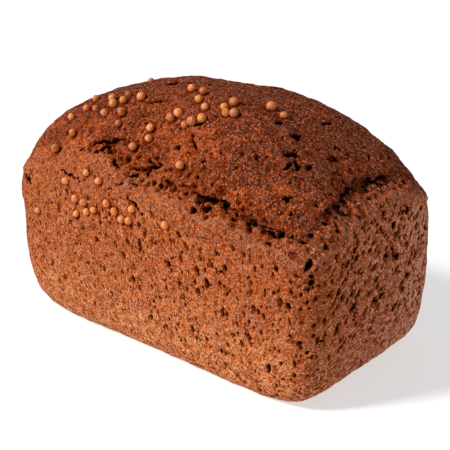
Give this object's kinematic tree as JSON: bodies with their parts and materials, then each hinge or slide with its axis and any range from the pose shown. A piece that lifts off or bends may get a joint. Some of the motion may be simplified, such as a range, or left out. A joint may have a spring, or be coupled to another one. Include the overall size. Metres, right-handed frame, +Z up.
{
  "type": "rye tin loaf",
  "caption": "Whole dark rye loaf baked in a tin: straight porous sides, a torn rim, a domed top and scattered coriander seeds. Rests on its flat underside.",
  "frame": {"origin": "middle of the flat underside", "axes": "+Z up from the underside to the crown, +X along the loaf, the side with the most seeds facing -Y"},
  "size_m": [0.1516, 0.0833, 0.0965],
  "materials": {
    "crust": "matte, pored rye crust, darker on the crown",
    "coriander": "matte, dry ribbed seed husk"
  },
  "bodies": {
    "root": {"loaf": "crust"}
  },
  "joints": []
}
